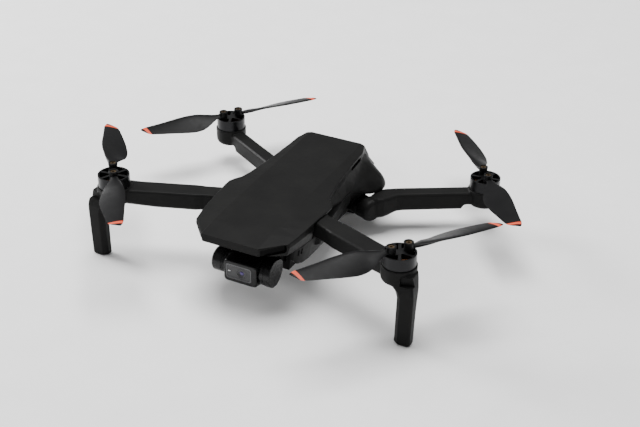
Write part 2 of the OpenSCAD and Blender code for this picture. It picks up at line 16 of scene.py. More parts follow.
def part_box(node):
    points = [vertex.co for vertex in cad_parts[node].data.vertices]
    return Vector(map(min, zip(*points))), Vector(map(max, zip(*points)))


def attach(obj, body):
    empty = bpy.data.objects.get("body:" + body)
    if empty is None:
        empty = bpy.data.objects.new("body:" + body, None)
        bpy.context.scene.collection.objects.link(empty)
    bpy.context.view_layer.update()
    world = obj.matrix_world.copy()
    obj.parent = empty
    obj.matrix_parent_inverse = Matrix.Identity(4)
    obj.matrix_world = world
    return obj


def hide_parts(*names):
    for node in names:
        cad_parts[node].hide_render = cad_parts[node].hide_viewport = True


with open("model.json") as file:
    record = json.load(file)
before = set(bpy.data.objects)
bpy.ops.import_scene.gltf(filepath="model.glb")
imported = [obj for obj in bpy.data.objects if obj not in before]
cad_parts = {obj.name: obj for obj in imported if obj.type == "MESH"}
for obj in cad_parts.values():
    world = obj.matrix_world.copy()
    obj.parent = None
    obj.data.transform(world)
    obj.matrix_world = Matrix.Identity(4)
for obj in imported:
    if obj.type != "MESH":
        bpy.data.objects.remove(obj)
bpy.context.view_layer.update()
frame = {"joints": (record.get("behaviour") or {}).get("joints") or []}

MM = 0.001
ROTORS = ("fl", "fr", "rl", "rr")
SIDES = (("left", 1), ("right", -1))


def centre(node):
    """The middle of a CAD node's box, in millimetres."""
    low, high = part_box(node)
    return (np.array(low) + np.array(high)) / 2 / MM


def top_of(node):
    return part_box(node)[1][2] / MM


ROTOR_X, FRONT_Y = abs(centre("rotor_bell_fl")[0]), centre("rotor_bell_fl")[1]
REAR_Y = centre("rotor_bell_rl")[1]
BLADE_ABOVE_BELL = 1.5
FRONT_BLADE = top_of("rotor_bell_fl") + BLADE_ABOVE_BELL
REAR_BLADE = top_of("rotor_bell_rl") + BLADE_ABOVE_BELL
JOINTS = {j["name"]: j for j in frame["joints"]}
# The hinges and the axis of the left side, from the CAD joints
FRONT_HINGE = np.array(JOINTS["front_arm_left_fold"]["pos_m"]) / MM
REAR_HINGE = np.array(JOINTS["rear_arm_left_fold"]["pos_m"]) / MM
FOLD_AXIS = -np.array(JOINTS["rear_arm_left_fold"]["axis"])


# ---------------------------------------------------------------- mesh tools

def link(name, data):
    """A new object in the scene."""
    obj = bpy.data.objects.new(name, data)
    bpy.context.collection.objects.link(obj)
    return obj


def mesh_object(name, points, faces):
    """A new object from points in millimetres."""
    mesh = bpy.data.meshes.new(name)
    mesh.from_pydata([tuple(np.array(p) * MM) for p in points], [], faces)
    mesh.validate()
    obj = link(name, mesh)
    face_outward(obj)
    return obj


def face_outward(obj):
    """Turns every face's front to the outside."""
    bm = bmesh.new()
    bm.from_mesh(obj.data)
    bmesh.ops.recalc_face_normals(bm, faces=bm.faces)
    bm.to_mesh(obj.data)
    bm.free()


def loft(name, rings):
    """Joins closed rings with equal numbers of points into one solid."""
    n = len(rings[0])
    faces = [(k * n + i, k * n + (i + 1) % n, (k + 1) * n + (i + 1) % n, (k + 1) * n + i)
             for k in range(len(rings) - 1) for i in range(n)]
    faces += [tuple(range(n)), tuple(range((len(rings) - 1) * n, len(rings) * n))]
    return mesh_object(name, [p for ring in rings for p in ring], faces)


def prism(name, outline, low, high, axis="z"):
    """A flat outline pushed along an axis from low to high."""
    place = {"x": lambda a, b, c: (c, a, b), "y": lambda a, b, c: (a, c, b),
             "z": lambda a, b, c: (a, b, c)}[axis]
    return loft(name, [[place(a, b, c) for a, b in outline] for c in (low, high)])


def lathe(name, profile, at=(0, 0, 0), along=(0, 0, 1), steps=96):
    """Turns a closed profile of (radius, height) about an axis."""
    z = Vector(along).normalized()
    x = z.orthogonal().normalized()
    y = z.cross(x)
    rings = []
    for k in range(steps):
        a = 2 * math.pi * k / steps
        out = x * math.cos(a) + y * math.sin(a)
        rings.append([Vector(at) + out * r + z * h for r, h in profile])
    n = len(profile)
    points = [p for ring in rings for p in ring]
    faces = [(k * n + i, k * n + (i + 1) % n, (k + 1) % steps * n + (i + 1) % n,
              (k + 1) % steps * n + i) for k in range(steps) for i in range(n)]
    obj = mesh_object(name, points, faces)
    clean(obj)
    return obj


def clean(obj, distance=0.002):
    """Joins points that lie together, such as those on a lathe's axis."""
    bm = bmesh.new()
    bm.from_mesh(obj.data)
    bmesh.ops.remove_doubles(bm, verts=bm.verts, dist=distance * MM)
    bmesh.ops.dissolve_degenerate(bm, edges=bm.edges, dist=distance * MM)
    bmesh.ops.recalc_face_normals(bm, faces=bm.faces)
    bm.to_mesh(obj.data)
    bm.free()


def apply_modifiers(obj):
    """Turns the object's modifiers into mesh."""
    deps = bpy.context.evaluated_depsgraph_get()
    mesh = bpy.data.meshes.new_from_object(obj.evaluated_get(deps))
    obj.modifiers.clear()
    obj.data = mesh


def combine(obj, others, operation):
    """Adds closed solids to obj or cuts them from it, and removes them."""
    for other in others:
        tool = obj.modifiers.new("combine", "BOOLEAN")
        tool.operation, tool.solver, tool.object = operation, "EXACT", other
        apply_modifiers(obj)
        bpy.data.objects.remove(other)
    return obj


def joined(name, parts, materials=()):
    """One object holding all the parts' meshes."""
    bm = bmesh.new()
    for part in parts:
        bm.from_mesh(part.data)
        bpy.data.objects.remove(part)
    mesh = bpy.data.meshes.new(name)
    for material in materials:
        mesh.materials.append(material)
    bm.to_mesh(mesh)
    bm.free()
    return link(name, mesh)


def moulded(obj, size, passes):
    """Fuses overlapping solids into one skin with the small radii of a moulding.

    size is the voxel in millimetres, and each smoothing pass widens the radii.
    """
    remesh = obj.modifiers.new("fuse", "REMESH")
    remesh.mode, remesh.voxel_size = "VOXEL", size * MM
    soften = obj.modifiers.new("soften", "SMOOTH")
    soften.factor, soften.iterations = 0.5, passes
    apply_modifiers(obj)
    return obj


def smooth(obj, angle):
    """Smooth shading, with edges sharper than the angle in degrees kept."""
    obj.data.polygons.foreach_set("use_smooth", [True] * len(obj.data.polygons))
    obj.data.set_sharp_from_angle(angle=math.radians(angle))
    return obj


def add_bevel(obj, width, segments):
    """A bevel on every edge sharper than 30 degrees, left as a modifier."""
    bevel = obj.modifiers.new("edges", "BEVEL")
    bevel.width, bevel.segments = width * MM, segments
    bevel.limit_method, bevel.angle_limit = "ANGLE", math.radians(30)
    return bevel


def bevelled(obj, width, segments):
    add_bevel(obj, width, segments).harden_normals = True
    return smooth(obj, 60)


def finish_piece(obj, body, material, slot, *nodes):
    """Gives a piece its material if it has none and its body, and hides the CAD nodes that it
    stands for; slot is not used.
    """
    if not obj.data.materials:
        obj.data.materials.append(material)
    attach(obj, body)
    if nodes:
        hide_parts(*nodes)
    return obj


def rounded(points, radii, steps=5):
    """An open outline whose inner corners are replaced by small curves."""
    pts = [np.array(p, float) for p in points]
    out = [pts[0]]
    for before, corner, after, radius in zip(pts, pts[1:], pts[2:], radii):
        a, b = before - corner, after - corner
        la, lb = np.linalg.norm(a), np.linalg.norm(b)
        r = min(radius, 0.49 * la, 0.49 * lb)
        start, end = corner + a / la * r, corner + b / lb * r
        for t in np.linspace(0, 1, steps):
            out.append((1 - t) ** 2 * start + 2 * t * (1 - t) * corner + t * t * end)
    out.append(pts[-1])
    return out


def closed_rounded(points, radius, steps=5):
    """A closed outline with every corner rounded."""
    loop = [points[-1]] + list(points) + [points[0]]
    return rounded(loop, [radius] * len(points), steps)[1:-1]


def rounded_box(x0, x1, z0, z1, radius):
    return closed_rounded([(x0, z0), (x1, z0), (x1, z1), (x0, z1)], radius, 7)


def flow(x, xs, ys):
    """A smooth curve through points, read at x."""
    slopes = np.gradient(ys, xs)
    i = int(np.clip(np.searchsorted(xs, x) - 1, 0, len(xs) - 2))
    h = xs[i + 1] - xs[i]
    t = (x - xs[i]) / h
    return ((2 * t ** 3 - 3 * t ** 2 + 1) * ys[i] + (t ** 3 - 2 * t ** 2 + t) * h * slopes[i]
            + (3 * t ** 2 - 2 * t ** 3) * ys[i + 1] + (t ** 3 - t ** 2) * h * slopes[i + 1])


# ---------------------------------------------------------------- materials

def node_material(name):
    material = bpy.data.materials.new(name)
    material.use_nodes = True
    tree = material.node_tree
    return material, tree, tree.nodes["Principled BSDF"]


def noise(tree, scale, detail, roughness=0.55):
    """Noise in the object's own space, at a scale in features per metre."""
    coords = tree.nodes.new("ShaderNodeTexCoord")
    texture = tree.nodes.new("ShaderNodeTexNoise")
    texture.inputs["Scale"].default_value = scale
    texture.inputs["Detail"].default_value = detail
    texture.inputs["Roughness"].default_value = roughness
    tree.links.new(coords.outputs["Object"], texture.inputs["Vector"])
    return texture


def ramp(tree, source, stops):
    """Colours by the value of a texture output, from stops of place and colour."""
    node = tree.nodes.new("ShaderNodeValToRGB")
    elements = node.color_ramp.elements
    for element, (place, colour) in zip(elements, (stops[0], stops[-1])):
        element.position, element.color = place, (*colour, 1)
    for place, colour in stops[1:-1]:
        elements.new(place).color = (*colour, 1)
    tree.links.new(source, node.inputs["Fac"])
    return node


def grey(v):
    return (v, v, v)


def add_bump(tree, shader, sources):
    """Chains bumps, each from a texture output with a height in millimetres."""
    previous = None
    for output, height in sources:
        bump = tree.nodes.new("ShaderNodeBump")
        bump.inputs["Strength"].default_value = 1
        bump.inputs["Distance"].default_value = height * MM
        tree.links.new(output, bump.inputs["Height"])
        if previous:
            tree.links.new(previous.outputs["Normal"], bump.inputs["Normal"])
        previous = bump
    tree.links.new(previous.outputs["Normal"], shader.inputs["Normal"])


def moulded_plastic(name, dark, light, rough, grain=2600, grain_height=0.018, spec=0.5):
    """Textured plastic: two tones of colour, uneven gloss and a fine spark-eroded grain."""
    material, tree, shader = node_material(name)
    cloud = noise(tree, 70, 3)
    colour = ramp(tree, cloud.outputs["Fac"], [(0.3, dark), (0.7, light)])
    tree.links.new(colour.outputs["Color"], shader.inputs["Base Color"])
    wear = noise(tree, 420, 6)
    gloss = ramp(tree, wear.outputs["Fac"], [(0.3, grey(rough - 0.05)), (0.7, grey(rough + 0.06))])
    tree.links.new(gloss.outputs["Color"], shader.inputs["Roughness"])
    shader.inputs["Specular IOR Level"].default_value = spec
    fine = noise(tree, grain, 2, 0.6)
    add_bump(tree, shader, [(fine.outputs["Fac"], grain_height), (wear.outputs["Fac"], 0.01)])
    return material


def turned_metal(name, colour, rough, ring_scale=900, metallic=1.0):
    """Turned or drawn metal with fine rings about the vertical and faint stains."""
    material, tree, shader = node_material(name)
    stain = noise(tree, 260, 4)
    tint = ramp(tree, stain.outputs["Fac"], [(0.25, tuple(c * 0.8 for c in colour)),
                                             (0.75, tuple(min(1, c * 1.15) for c in colour))])
    tree.links.new(tint.outputs["Color"], shader.inputs["Base Color"])
    gloss = ramp(tree, stain.outputs["Fac"], [(0.3, grey(rough - 0.05)), (0.7, grey(rough + 0.08))])
    tree.links.new(gloss.outputs["Color"], shader.inputs["Roughness"])
    shader.inputs["Metallic"].default_value = metallic
    coords = tree.nodes.new("ShaderNodeTexCoord")
    rings = tree.nodes.new("ShaderNodeTexWave")
    rings.bands_direction = "Z"
    rings.inputs["Scale"].default_value = ring_scale
    rings.inputs["Distortion"].default_value = 0.6
    tree.links.new(coords.outputs["Object"], rings.inputs["Vector"])
    add_bump(tree, shader, [(rings.outputs["Fac"], 0.006)])
    return material


def wound_wire():
    """Enamelled copper wire: close parallel turns with a lacquer shine, and a colour that paints
    shade into the grooves between them and a highlight along each crest.
    """
    material, tree, shader = node_material("wound_wire")
    coords = tree.nodes.new("ShaderNodeTexCoord")
    ridge_relief_and_shade = tree.nodes.new("ShaderNodeTexWave")
    ridge_relief_and_shade.bands_direction = "Z"
    ridge_relief_and_shade.inputs["Scale"].default_value = 1100
    tree.links.new(coords.outputs["Object"], ridge_relief_and_shade.inputs["Vector"])
    # The wave gives the turns both their relief and their colour: dark brown in the grooves is
    # painted shade, light copper on the crests is a painted highlight.
    colour = ramp(tree, ridge_relief_and_shade.outputs["Fac"], [(0.1, (0.16, 0.05, 0.018)),
                                                 (0.6, (0.62, 0.26, 0.09)),
                                                 (0.95, (0.85, 0.42, 0.18))])
    tree.links.new(colour.outputs["Color"], shader.inputs["Base Color"])
    shader.inputs["Metallic"].default_value = 0.9
    shader.inputs["Roughness"].default_value = 0.32
    add_bump(tree, shader, [(ridge_relief_and_shade.outputs["Fac"], 0.08)])
    return material


def lens_glass():
    """Dark coated glass with a violet shine."""
    material, tree, shader = node_material("lens_glass")
    smear = noise(tree, 300, 3)
    colour = ramp(tree, smear.outputs["Fac"], [(0.3, (0.012, 0.008, 0.03)),
                                               (0.7, (0.03, 0.018, 0.08))])
    tree.links.new(colour.outputs["Color"], shader.inputs["Base Color"])
    gloss = ramp(tree, smear.outputs["Fac"], [(0.3, grey(0.03)), (0.8, grey(0.09))])
    tree.links.new(gloss.outputs["Color"], shader.inputs["Roughness"])
    shader.inputs["Coat Weight"].default_value = 1
    shader.inputs["Coat Roughness"].default_value = 0.03
    shader.inputs["Coat Tint"].default_value = (0.62, 0.5, 1, 1)
    shader.inputs["Specular IOR Level"].default_value = 0.9
    shader.inputs["Specular Tint"].default_value = (0.6, 0.45, 1, 1)
    return material


def circuit_board():
    """Green lacquer over copper tracks."""
    material, tree, shader = node_material("circuit_board")
    coords = tree.nodes.new("ShaderNodeTexCoord")
    tracks = tree.nodes.new("ShaderNodeTexBrick")
    tracks.inputs["Scale"].default_value = 160
    tracks.inputs["Color1"].default_value = (0.01, 0.09, 0.04, 1)
    tracks.inputs["Color2"].default_value = (0.012, 0.12, 0.055, 1)
    tracks.inputs["Mortar"].default_value = (0.05, 0.2, 0.07, 1)
    tree.links.new(coords.outputs["Object"], tracks.inputs["Vector"])
    tree.links.new(tracks.outputs["Color"], shader.inputs["Base Color"])
    shader.inputs["Roughness"].default_value = 0.35
    add_bump(tree, shader, [(tracks.outputs["Fac"], 0.03)])
    return material


# Plastics: dark and light tone, roughness, then grain scale, grain height in mm and specular
SHELL = moulded_plastic("shell_plastic", grey(0.0072), (0.0098, 0.0098, 0.0095), 0.43, spec=0.07)
TRIM = moulded_plastic("trim_plastic", (0.0022, 0.0022, 0.0025), (0.0036, 0.0036, 0.004),
                       0.27, 3000, 0.004, 0.25)
GLOSS = moulded_plastic("gloss_plastic", grey(0.001), grey(0.002), 0.13, 2000, 0.001, 0.16)
BLADE = moulded_plastic("blade_plastic", (0.0058, 0.0058, 0.0061), (0.008, 0.008, 0.0085),
                        0.36, 3200, 0.006, 0.09)
BAND_PAINT = moulded_plastic("tip_paint", (0.62, 0.07, 0.028), (0.7, 0.09, 0.038),
                             0.42, 3200, 0.006, 0.2)
RUBBER = moulded_plastic("soft_rubber", grey(0.012), grey(0.02), 0.75, 1800, 0.02, 0.3)
CASE = moulded_plastic("battery_plastic", (0.04, 0.04, 0.044), (0.055, 0.055, 0.06), 0.55)
FRAME_GREY = moulded_plastic("window_frame", (0.06, 0.06, 0.063), (0.09, 0.09, 0.094),
                             0.35, 2500, 0.004)
WINDOW_GREY = moulded_plastic("window_plate", (0.012, 0.012, 0.014), (0.018, 0.018, 0.021),
                              0.2, 2000, 0.001)
RING_GREY = moulded_plastic("lens_ring", (0.02, 0.02, 0.022), (0.03, 0.03, 0.033),
                            0.3, 2500, 0.003)
MARK_WHITE = moulded_plastic("mark_white", grey(0.62), grey(0.7), 0.4, 2500, 0.003)
INSERT_BLACK = moulded_plastic("insert_plastic", grey(0.0008), grey(0.0015),
                               0.34, 2600, 0.004, 0.05)
# Metals: colour, roughness, then rings per metre and metallic
BELL = turned_metal("bell_metal", (0.014, 0.014, 0.015), 0.32, 700, 0.8)
STEEL = turned_metal("steel", (0.42, 0.42, 0.44), 0.3)
CORE = turned_metal("core_laminations", (0.035, 0.034, 0.034), 0.45, 2400)
ALLOY = turned_metal("alloy", (0.6, 0.61, 0.63), 0.38)
MAGNET = turned_metal("magnet", (0.1, 0.1, 0.105), 0.25)
SCREW = turned_metal("screw_metal", (0.12, 0.085, 0.05), 0.36)
COPPER = wound_wire()
GLASS = lens_glass()
BOARD = circuit_board()


# ---------------------------------------------------------------- CAD nodes

def cad_copy(node, name):
    """A free copy of a CAD node's mesh, to be worked up into a piece."""
    obj = link(name, bpy.data.objects[node].data.copy())
    obj.data.materials.clear()
    clean(obj)
    return obj


def dress(node, material, width):
    """Gives a CAD node its material and, where it is wanted, small bevels."""
    obj = bpy.data.objects[node]
    for slot in obj.material_slots:
        slot.material = material
    if width:
        add_bevel(obj, width, 2)


# ---------------------------------------------------------------- body

STRIP, TAIL_STRIP = 16.8, 16.0      # half the width of the roof's flat strip
TAIL_STRIP_Y = 35                   # behind this the strip is narrower
SEAM_Z = 31.2                       # where the cover meets the lower shell
POCKET_ROOF = 42.1                  # over a folded front arm
BAY_X, BAY_Y, BAY_Z = 24.6, -46.0, 34.0     # side, back and roof of the gimbal's bay
PIN_BORE = 2.05                     # the radius of a hinge pin's hole
FAR, AHEAD = 50, -90                # a cutting tool's reach past the side and past the nose
EDGE_ANGLE = 42                     # edges of a moulding sharper than this are kept
# Half sections of the top cover: y, strip height, facet edge x and z, side x and z, foot x and z
COVER = [
    (-84.0, 42.0, 17.0, 41.7, 16.9, 40.2, 16.4, 37.4),
    (-71.0, 43.4, 28.0, 41.1, 28.3, 38.8, 26.6, 33.6),
    (-63.0, 44.0, 29.4, 41.7, 29.6, 39.0, 26.8, 32.2),
    (-56.0, 44.4, 30.2, 42.3, 30.3, 39.0, 27.2, 31.2),
    (-46.0, 44.9, 30.9, 42.95, 31.0, 39.0, 28.6, 31.2),
    (-34.0, 45.3, 31.9, 43.25, 31.9, 39.6, 29.0, 31.2),
    (-29.5, 45.4, 31.9, 43.3, 31.8, 40.0, 28.6, 31.2),
    (-26.5, 45.5, 30.2, 43.6, 30.0, 40.0, 28.0, 31.2),
    (-23.5, 45.6, 27.4, 44.1, 27.2, 40.0, 27.4, 31.2),
    (-18.0, 45.7, 26.0, 44.3, 25.8, 40.0, 26.6, 31.2),
    (-8.0, 45.9, 24.4, 44.7, 24.2, 40.4, 25.4, 31.2),
    (5.0, 46.2, 22.9, 45.1, 22.7, 41.0, 24.2, 31.2),
    (20.0, 46.6, 21.9, 45.4, 21.6, 41.4, 24.0, 31.2),
    (31.0, 46.9, 21.4, 45.8, 21.0, 41.4, 24.0, 31.2),
    (38.6, 47.2, 19.0, 46.4, 19.6, 40.0, 23.4, 31.2),
    (40.4, 46.4, 18.2, 45.6, 19.0, 39.6, 23.2, 31.2),
    (47.9, 37.4, 17.4, 36.9, 18.2, 34.8, 21.8, 31.2),
]


def mirrored_ring(y, half):
    """A closed section from the left half's points, foot first."""
    return [(-x, y, z) for x, z in half] + [(x, y, z) for x, z in reversed(half)]


def cover_ring(row):
    y, z_strip, x_edge, z_edge, x_side, z_side, x_foot, z_foot = row
    strip = STRIP if y < TAIL_STRIP_Y else TAIL_STRIP
    return mirrored_ring(y, [(x_foot, z_foot), (x_side, z_side), (x_edge, z_edge),
                             (strip, z_strip)])


def pocket_tool(side):
    """The space in which a folded front arm lies."""
    outline = [(20.4, -44.2), (36, -50.05), (48, -50), (48, 4), (25.2, 4), (24.1, -8),
               (22.6, -22), (20.9, -34)]
    return prism("pocket", [(side * x, y) for x, y in outline], SEAM_Z - 4, POCKET_ROOF)


# Sections of a hip pod: y, then x and z in turn, from inside the roof round to the underside
POD = [
    (10, (14, 40, 21.6, 41.4, 22.2, 38.0, 23.2, 33.6, 23.8, 30.6, 23.8, 28.6, 21.6, 26.0, 14, 26)),
    (18, (14, 41, 21.2, 42.2, 22.0, 39.0, 23.6, 34.0, 25.0, 30.6, 25.4, 27.8, 22.6, 24.2, 14, 23)),
    (25, (14, 41, 20.9, 42.8, 21.8, 39.0, 23.8, 34.2, 26.8, 30.6, 29.4, 23.2, 24.0, 22.6, 14, 20)),
    (30, (14, 40, 20.7, 43.0, 22.0, 38.8, 24.6, 34.0, 29.8, 30.6, 33.0, 22.4, 25.2, 21.0, 14, 16)),
    (35, (14, 39, 20.5, 42.6, 22.4, 38.2, 26.8, 34.4, 31.8, 30.6, 34.4, 22.6, 26.6, 18.4, 14, 14)),
    (39, (14, 38, 20.2, 41.6, 22.2, 37.4, 26.4, 33.6, 31.4, 29.8, 34.0, 23.4, 27.0, 16.8, 14, 14)),
    (43, (14, 36, 19.4, 38.8, 21.4, 35.4, 24.8, 32.0, 28.6, 28.4, 31.4, 24.4, 25.6, 16.2, 14, 14)),
    (47.5, (14, 33, 18.0, 34.8, 19.6, 32.4, 22.0, 30.0, 24.6, 27.2, 26.0, 24.4, 22.6, 16.0,
            14, 14)),
]
POD_RADII = [0.6, 4, 6, 6, 6, 6]
POD_RINGS = 30


def hip_pod(side):
    """The smooth swelling that covers a rear arm's hinge."""
    stations = [y for y, _ in POD]
    columns = list(zip(*(values for _, values in POD)))
    rings = []
    for y in np.linspace(stations[0], stations[-1], POD_RINGS):
        values = [flow(y, stations, column) for column in columns]
        outline = rounded(list(zip(values[::2], values[1::2])), POD_RADII, 7)
        rings.append([(side * x, y, z) for x, z in outline])
    return loft("pod", rings)


# A vent's outline in y and z, and how far in and out it reaches from the middle
VENT = closed_rounded([(15.6, 41.1), (29.4, 41.4), (29.4, 44.0), (15.6, 43.5)], 1.2)
VENT_X = (18.6, 26.6)


def make_cover():
    """The one-piece top cover with its hip pods, arm pockets, vents and nose scoops."""
    cover = loft("top_cover", [cover_ring(row) for row in COVER])
    cover = joined("top_cover", [cover, hip_pod(1), hip_pod(-1)])
    moulded(cover, 0.3, 2)
    for side in (1, -1):
        vent = prism("vent", VENT, *sorted(side * x for x in VENT_X), "x")
        combine(cover, [pocket_tool(side), vent, scoop(side, 0.35, 7)], "DIFFERENCE")
    outline = [(-BAY_X, AHEAD), (BAY_X, AHEAD), (BAY_X, BAY_Y), (-BAY_X, BAY_Y)]
    bay = prism("bay", outline, SEAM_Z - 3.2, BAY_Z)
    combine(cover, [bay], "DIFFERENCE")
    return smooth(cover, EDGE_ANGLE)


CORNER = Vector((22.3, -77.6, 38.5))        # middle of a nose corner's face
CORNER_ALONG = Vector((0.653, 0.757, 0.0))
CORNER_OUT = Vector((0.757, -0.653, 0.0))
SCOOP_W, SCOOP_H = 7.0, 2.0                 # half a scoop's width and height


def scoop(side, grow, depth, out=2.0):
    """A pocket in a nose corner, or its insert, as a rounded slab standing along the face.

    grow widens it all round, and out is how far its outer end stands off the face.
    """
    w, h = SCOOP_W + grow, SCOOP_H + grow
    outline = rounded([(0, -h), (-w, -h), (-w, h), (w, h * 1.1), (w + 0.4, -h), (0, -h)],
                      [0.5, 0.6, 1.6, 1.9], 8)[:-1]
    rings = []
    for c in (out - depth, out):
        ring = [CORNER + CORNER_ALONG * a + Vector((0, 0, z)) + CORNER_OUT * c for a, z in outline]
        rings.append([(side * p.x, p.y, p.z) for p in ring])
    return loft("scoop", rings)


# The lower shell's left flank from front to back: y, foot x and z, and seam x
FLANK = [(-60.5, 24.8, 24.4, 25.4), (-57.5, 25.6, 21.0, 26.4), (-53.0, 26.3, 19.4, 27.6),
         (-48.0, 26.7, 19.0, 28.3), (-44.0, 26.8, 19.0, 28.7), (-38.0, 27.0, 19.0, 28.9),
         (-26.0, 26.8, 19.0, 28.4), (-18.0, 25.6, 19.4, 27.4), (5.0, 22.0, 20.0, 24.4),
         (14.0, 21.6, 20.0, 24.0)]
WALL_TOP = SEAM_Z - 0.1
# Outlines of what is cut from the lower shell's left side, in x and y: the flank down to its
# finished line, the hip that belongs to the cover's piece, and the tail's corner
SHAVE = [(25.6, -60), (26.4, -45), (26.6, -38), (26.2, -26), (25.2, -18), (21.8, 5), (21.2, 16),
         (FAR, 16), (FAR, -60)]
HIP = [(20.4, 15.9), (FAR, 15.9), (FAR, 52), (21.2, 52), (21.0, 44)]
TAIL_CORNER = [(19.4, 50.2), (21.4, 46.8), (25, 46.8), (25, 52), (19.4, 52)]
SLOT_Y = (-57.2, -54.8)             # two slots in each flank, beside the gimbal


def flank_wall(side):
    """The side of the lower shell, which runs forward beside the gimbal."""
    rings = []
    for y, foot, z, seam in FLANK:
        inner = foot - 2.0 if y < BAY_Y else 20.0
        rings.append([(side * x, y, z) for x, z in
                      ((inner, z), (foot, z), (seam, WALL_TOP), (inner, WALL_TOP))])
    return loft("flank", rings)


def make_lower():
    """The lower shell: its CAD body with the walls beside the gimbal and moulded radii."""
    lower = cad_copy("lower_shell", "lower_body")
    for side in (1, -1):
        for outline, low in ((SHAVE, 19.4), (HIP, 17.0), (TAIL_CORNER, 24.0)):
            tool = prism("tool", [(side * x, y) for x, y in outline], low, SEAM_Z + 3)
            combine(lower, [tool], "DIFFERENCE")
    boss = [(0, 24.5), (2.2, 24.5), (3.0, 25.3), (3.0, WALL_TOP), (0, WALL_TOP)]
    bosses = [lathe("pin_boss", boss, at=(side * FRONT_HINGE[0], FRONT_HINGE[1], 0))
              for side in (1, -1)]
    lower = joined("lower_body", [lower, flank_wall(1), flank_wall(-1)] + bosses)
    moulded(lower, 0.33, 3)
    for side in (1, -1):
        for y in SLOT_Y:
            outline = [(y - 0.6, 25.9), (y + 0.5, 25.9), (y + 0.8, 29.4), (y - 0.3, 29.4)]
            slot = prism("slot", outline, *sorted((side * 23, side * 32)), "x")
            combine(lower, [slot], "DIFFERENCE")
    return smooth(lower, EDGE_ANGLE)


# ---------------------------------------------------------------- arms

FRONT_SLOPE, REAR_SLOPE = math.radians(-20.6), math.radians(30.4)
CUP_R, CUP_WALL = 9.5, 0.8
CUP_RIM, CUP_FLOOR = -8.3, -11.3    # from the blades down to a mount's rim and its seat


def box_ring(origin, direction, s, w0, w1, z0, z1, cut_low, cut_high, side):
    """A section across an arm at distance s, from w0 on its right to w1, with its corners cut."""
    d = np.array([math.cos(direction), math.sin(direction)])
    n = np.array([-d[1], d[0]])
    pts = [(w0, z0 + cut_low), (w0 + cut_low, z0), (w1 - cut_low, z0), (w1, z0 + cut_low),
           (w1, z1 - cut_high), (w1 - cut_high, z1), (w0 + cut_high, z1), (w0, z1 - cut_high)]
    out = []
    for t, z in pts:
        x, y = origin[0] + d[0] * s + n[0] * t, origin[1] + d[1] * s + n[1] * t
        out.append((side * x, y, z))
    return out


def cup(y, low, blade_z, side):
    """A motor's mount as a solid drum with a rounded underside."""
    rim = blade_z + CUP_RIM
    profile = rounded([(0, low), (CUP_R - 0.2, low), (CUP_R, rim), (0, rim)], [3.4, 0.3], 8)
    return lathe("cup", [tuple(p) for p in profile], at=(side * ROTOR_X, y, 0))


def rod(radius, low, high, at, along=(0, 0, 1), steps=96):
    """A plain cylinder, mostly used to cut a hole."""
    return lathe("rod", [(0, low), (radius, low), (radius, high), (0, high)], at, along, steps)


def seat_tool(y, blade_z, side):
    """The well of a motor's mount."""
    return rod(CUP_R - CUP_WALL, blade_z + CUP_FLOOR, blade_z, (side * ROTOR_X, y, 0))


# Sections of a front arm: distance from its hinge, right, left, bottom and top seen along it,
# and how much is cut off the bottom and top corners
FRONT_SECTIONS = [
    (0, -5.6, 5.6, 32.0, 41.6, 1.0, 0.8), (13, -5.6, 5.6, 31.9, 41.7, 1.0, 0.8),
    (17.5, -6.3, 6.2, 31.6, 41.8, 1.4, 0.9), (40, -6.3, 6.2, 31.8, 41.8, 1.4, 0.9),
    (50, -6.4, 6.3, 32.4, 41.8, 1.6, 0.9), (57, -6.9, 6.9, 33.0, 41.9, 1.8, 0.9)]
# The same for a rear arm, from its motor to its hinge, where the arm swells towards the nose
REAR_SECTIONS = [
    (5, -4.7, 4.7, 14.4, 22.9, 1.4, 1.2), (10.4, -4.7, 4.7, 15.0, 22.9, 1.2, 1.2),
    (12.4, -4.7, 4.7, 14.4, 22.9, 1.2, 1.2), (13.6, -4.7, 4.7, 12.2, 22.9, 1.2, 1.2),
    (30, -4.7, 4.7, 12.1, 22.9, 1.2, 1.2), (49, -4.8, 4.8, 11.9, 22.9, 1.3, 1.2),
    (52, -4.8, 5.2, 11.5, 22.8, 1.6, 1.1), (54.5, -4.8, 6.6, 10.8, 22.6, 2.2, 1.1),
    (57, -4.8, 8.2, 10.0, 22.6, 2.8, 1.1), (60, -3.7, 9.7, 9.3, 22.8, 3.4, 1.1),
    (63.5, -1.7, 10.2, 8.9, 22.8, 3.6, 1.4), (66.5, 0.2, 9.8, 9.0, 22.2, 3.4, 2.4),
    (69, 2.2, 8.6, 9.6, 20.8, 2.6, 2.6)]
# Sections of a front leg: z, then its sides in x and y from the motor's axis
LEG = [(0.0, 3.2, 10.8, -9.0, -4.2), (0.9, 2.3, 11.6, -9.6, -3.6), (20, 2.7, 12.1, -9.8, -3.3),
       (28, 2.9, 12.3, -9.9, -2.6), (31.5, 1.8, 12.2, -9.9, -1.6), (34, -0.8, 11.8, -9.6, -0.5),
       (37, -4.0, 11.0, -9.1, 1.0), (40.2, -6.0, 10.2, -8.3, 2.0)]
LEG_CUT, LEG_FACE_CUT = 0.8, 2.4    # the leg's small corners and its wide inner front one
# The relief under a front mount, over the leg's front panel, from the motor's axis
RELIEF, RELIEF_Z = [(3.6, -14), (17, -14), (17, -4.4), (4.8, -7.6)], (35.4, 40.2)


